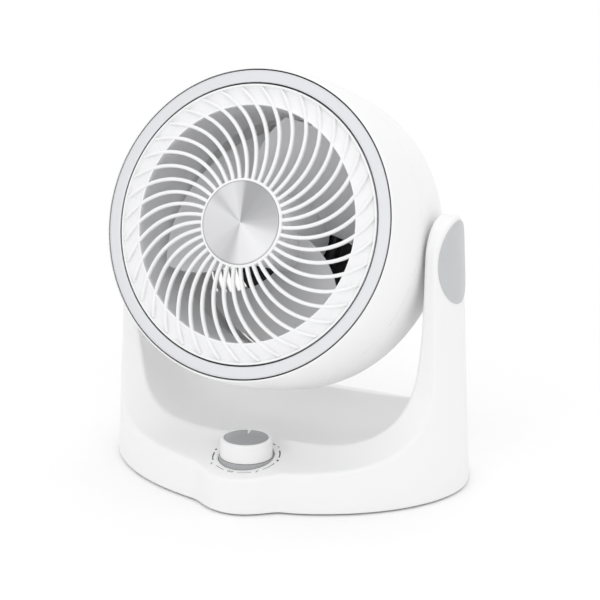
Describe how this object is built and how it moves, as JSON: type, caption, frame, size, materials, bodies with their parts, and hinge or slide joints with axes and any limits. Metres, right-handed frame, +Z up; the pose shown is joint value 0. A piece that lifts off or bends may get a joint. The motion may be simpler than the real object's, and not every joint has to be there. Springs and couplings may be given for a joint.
{
  "type": "air circulator fan",
  "caption": "Table air circulator fan: a round tilting head with a curved-rib grille held between the two arms of an oval base, with a turning knob on the base.",
  "frame": {"origin": "on the floor, under the middle of the whole object's box", "axes": "+Z up, the face of the fan looks towards -Y and up by 18.5 degrees at rest, +X to the right seen from the front, the tilt axis runs along X"},
  "size_m": [0.3101, 0.2483, 0.3359],
  "materials": {
    "shell_white": "smooth moulded",
    "arm_white": "smooth moulded",
    "plate_white": "fine grained",
    "grey_plastic": "smooth moulded",
    "bush_plastic": "plain",
    "black_plastic": "plain",
    "foot_rubber": "matte",
    "steel": "plain",
    "spun_silver": "spun, radial sheen",
    "bezel_silver": "silver paint",
    "motor_metal": "pressed",
    "motor_black": "enamelled",
    "copper_winding": null,
    "impeller_grey": "smooth moulded",
    "knob_grey": "satin"
  },
  "bodies": {
    "base": {"yoke_shell": "arm_white", "base_plate": "plate_white", "rubber_foot_1": "foot_rubber", "rubber_foot_2": "foot_rubber", "rubber_foot_3": "foot_rubber", "rubber_foot_4": "foot_rubber", "base_screw_1": "steel", "base_screw_2": "steel", "base_screw_3": "steel", "base_screw_4": "steel", "pivot_cap_right": "grey_plastic", "pivot_cap_left": "grey_plastic", "pivot_bushing_right": "bush_plastic", "pivot_bushing_left": "bush_plastic", "knob_collar": "grey_plastic", "rotary_switch": "black_plastic", "cord_gland": "black_plastic", "terminal_block": "bush_plastic", "capacitor": "black_plastic"},
    "head": {"front_shell": "shell_white", "rear_shell": "shell_white", "front_grille": "shell_white", "hub_badge": "spun_silver", "bezel_ring": "bezel_silver", "bezel_gasket": "black_plastic", "air_duct": "grey_plastic", "rear_grille": "shell_white", "motor_housing": "motor_black", "motor_stator": "copper_winding", "front_bearing": "steel", "rear_bearing": "steel", "motor_screw_1": "steel", "motor_screw_2": "steel", "motor_screw_3": "steel", "pivot_pin_right": "steel", "pivot_pin_left": "steel", "friction_washer_right": "black_plastic", "friction_washer_left": "black_plastic", "pivot_nut_right": "steel", "pivot_nut_left": "steel"},
    "rotor": {"impeller": "impeller_grey", "motor_shaft": "steel", "rotor_core": "motor_metal", "impeller_nut": "steel"},
    "knob": {"knob_body": "shell_white", "knob_top_disc": "knob_grey", "knob_spindle": "steel"}
  },
  "joints": [
    {"name": "head_tilt", "type": "hinge", "parent": "base", "child": "head", "pos_m": [0, 0.00598, 0.194], "axis": [-1, 0, 0], "range_deg": [-18.5, 71.5]},
    {"name": "impeller_spin", "type": "hinge", "parent": "head", "child": "rotor", "pos_m": [0, 0.00598, 0.194], "axis": [0, -0.9483, 0.3173], "continuous": true},
    {"name": "knob_turn", "type": "hinge", "parent": "base", "child": "knob", "pos_m": [0.006, -0.08652, 0.03624], "axis": [0, 0, 1], "range_deg": [-135, 135]}
  ]
}
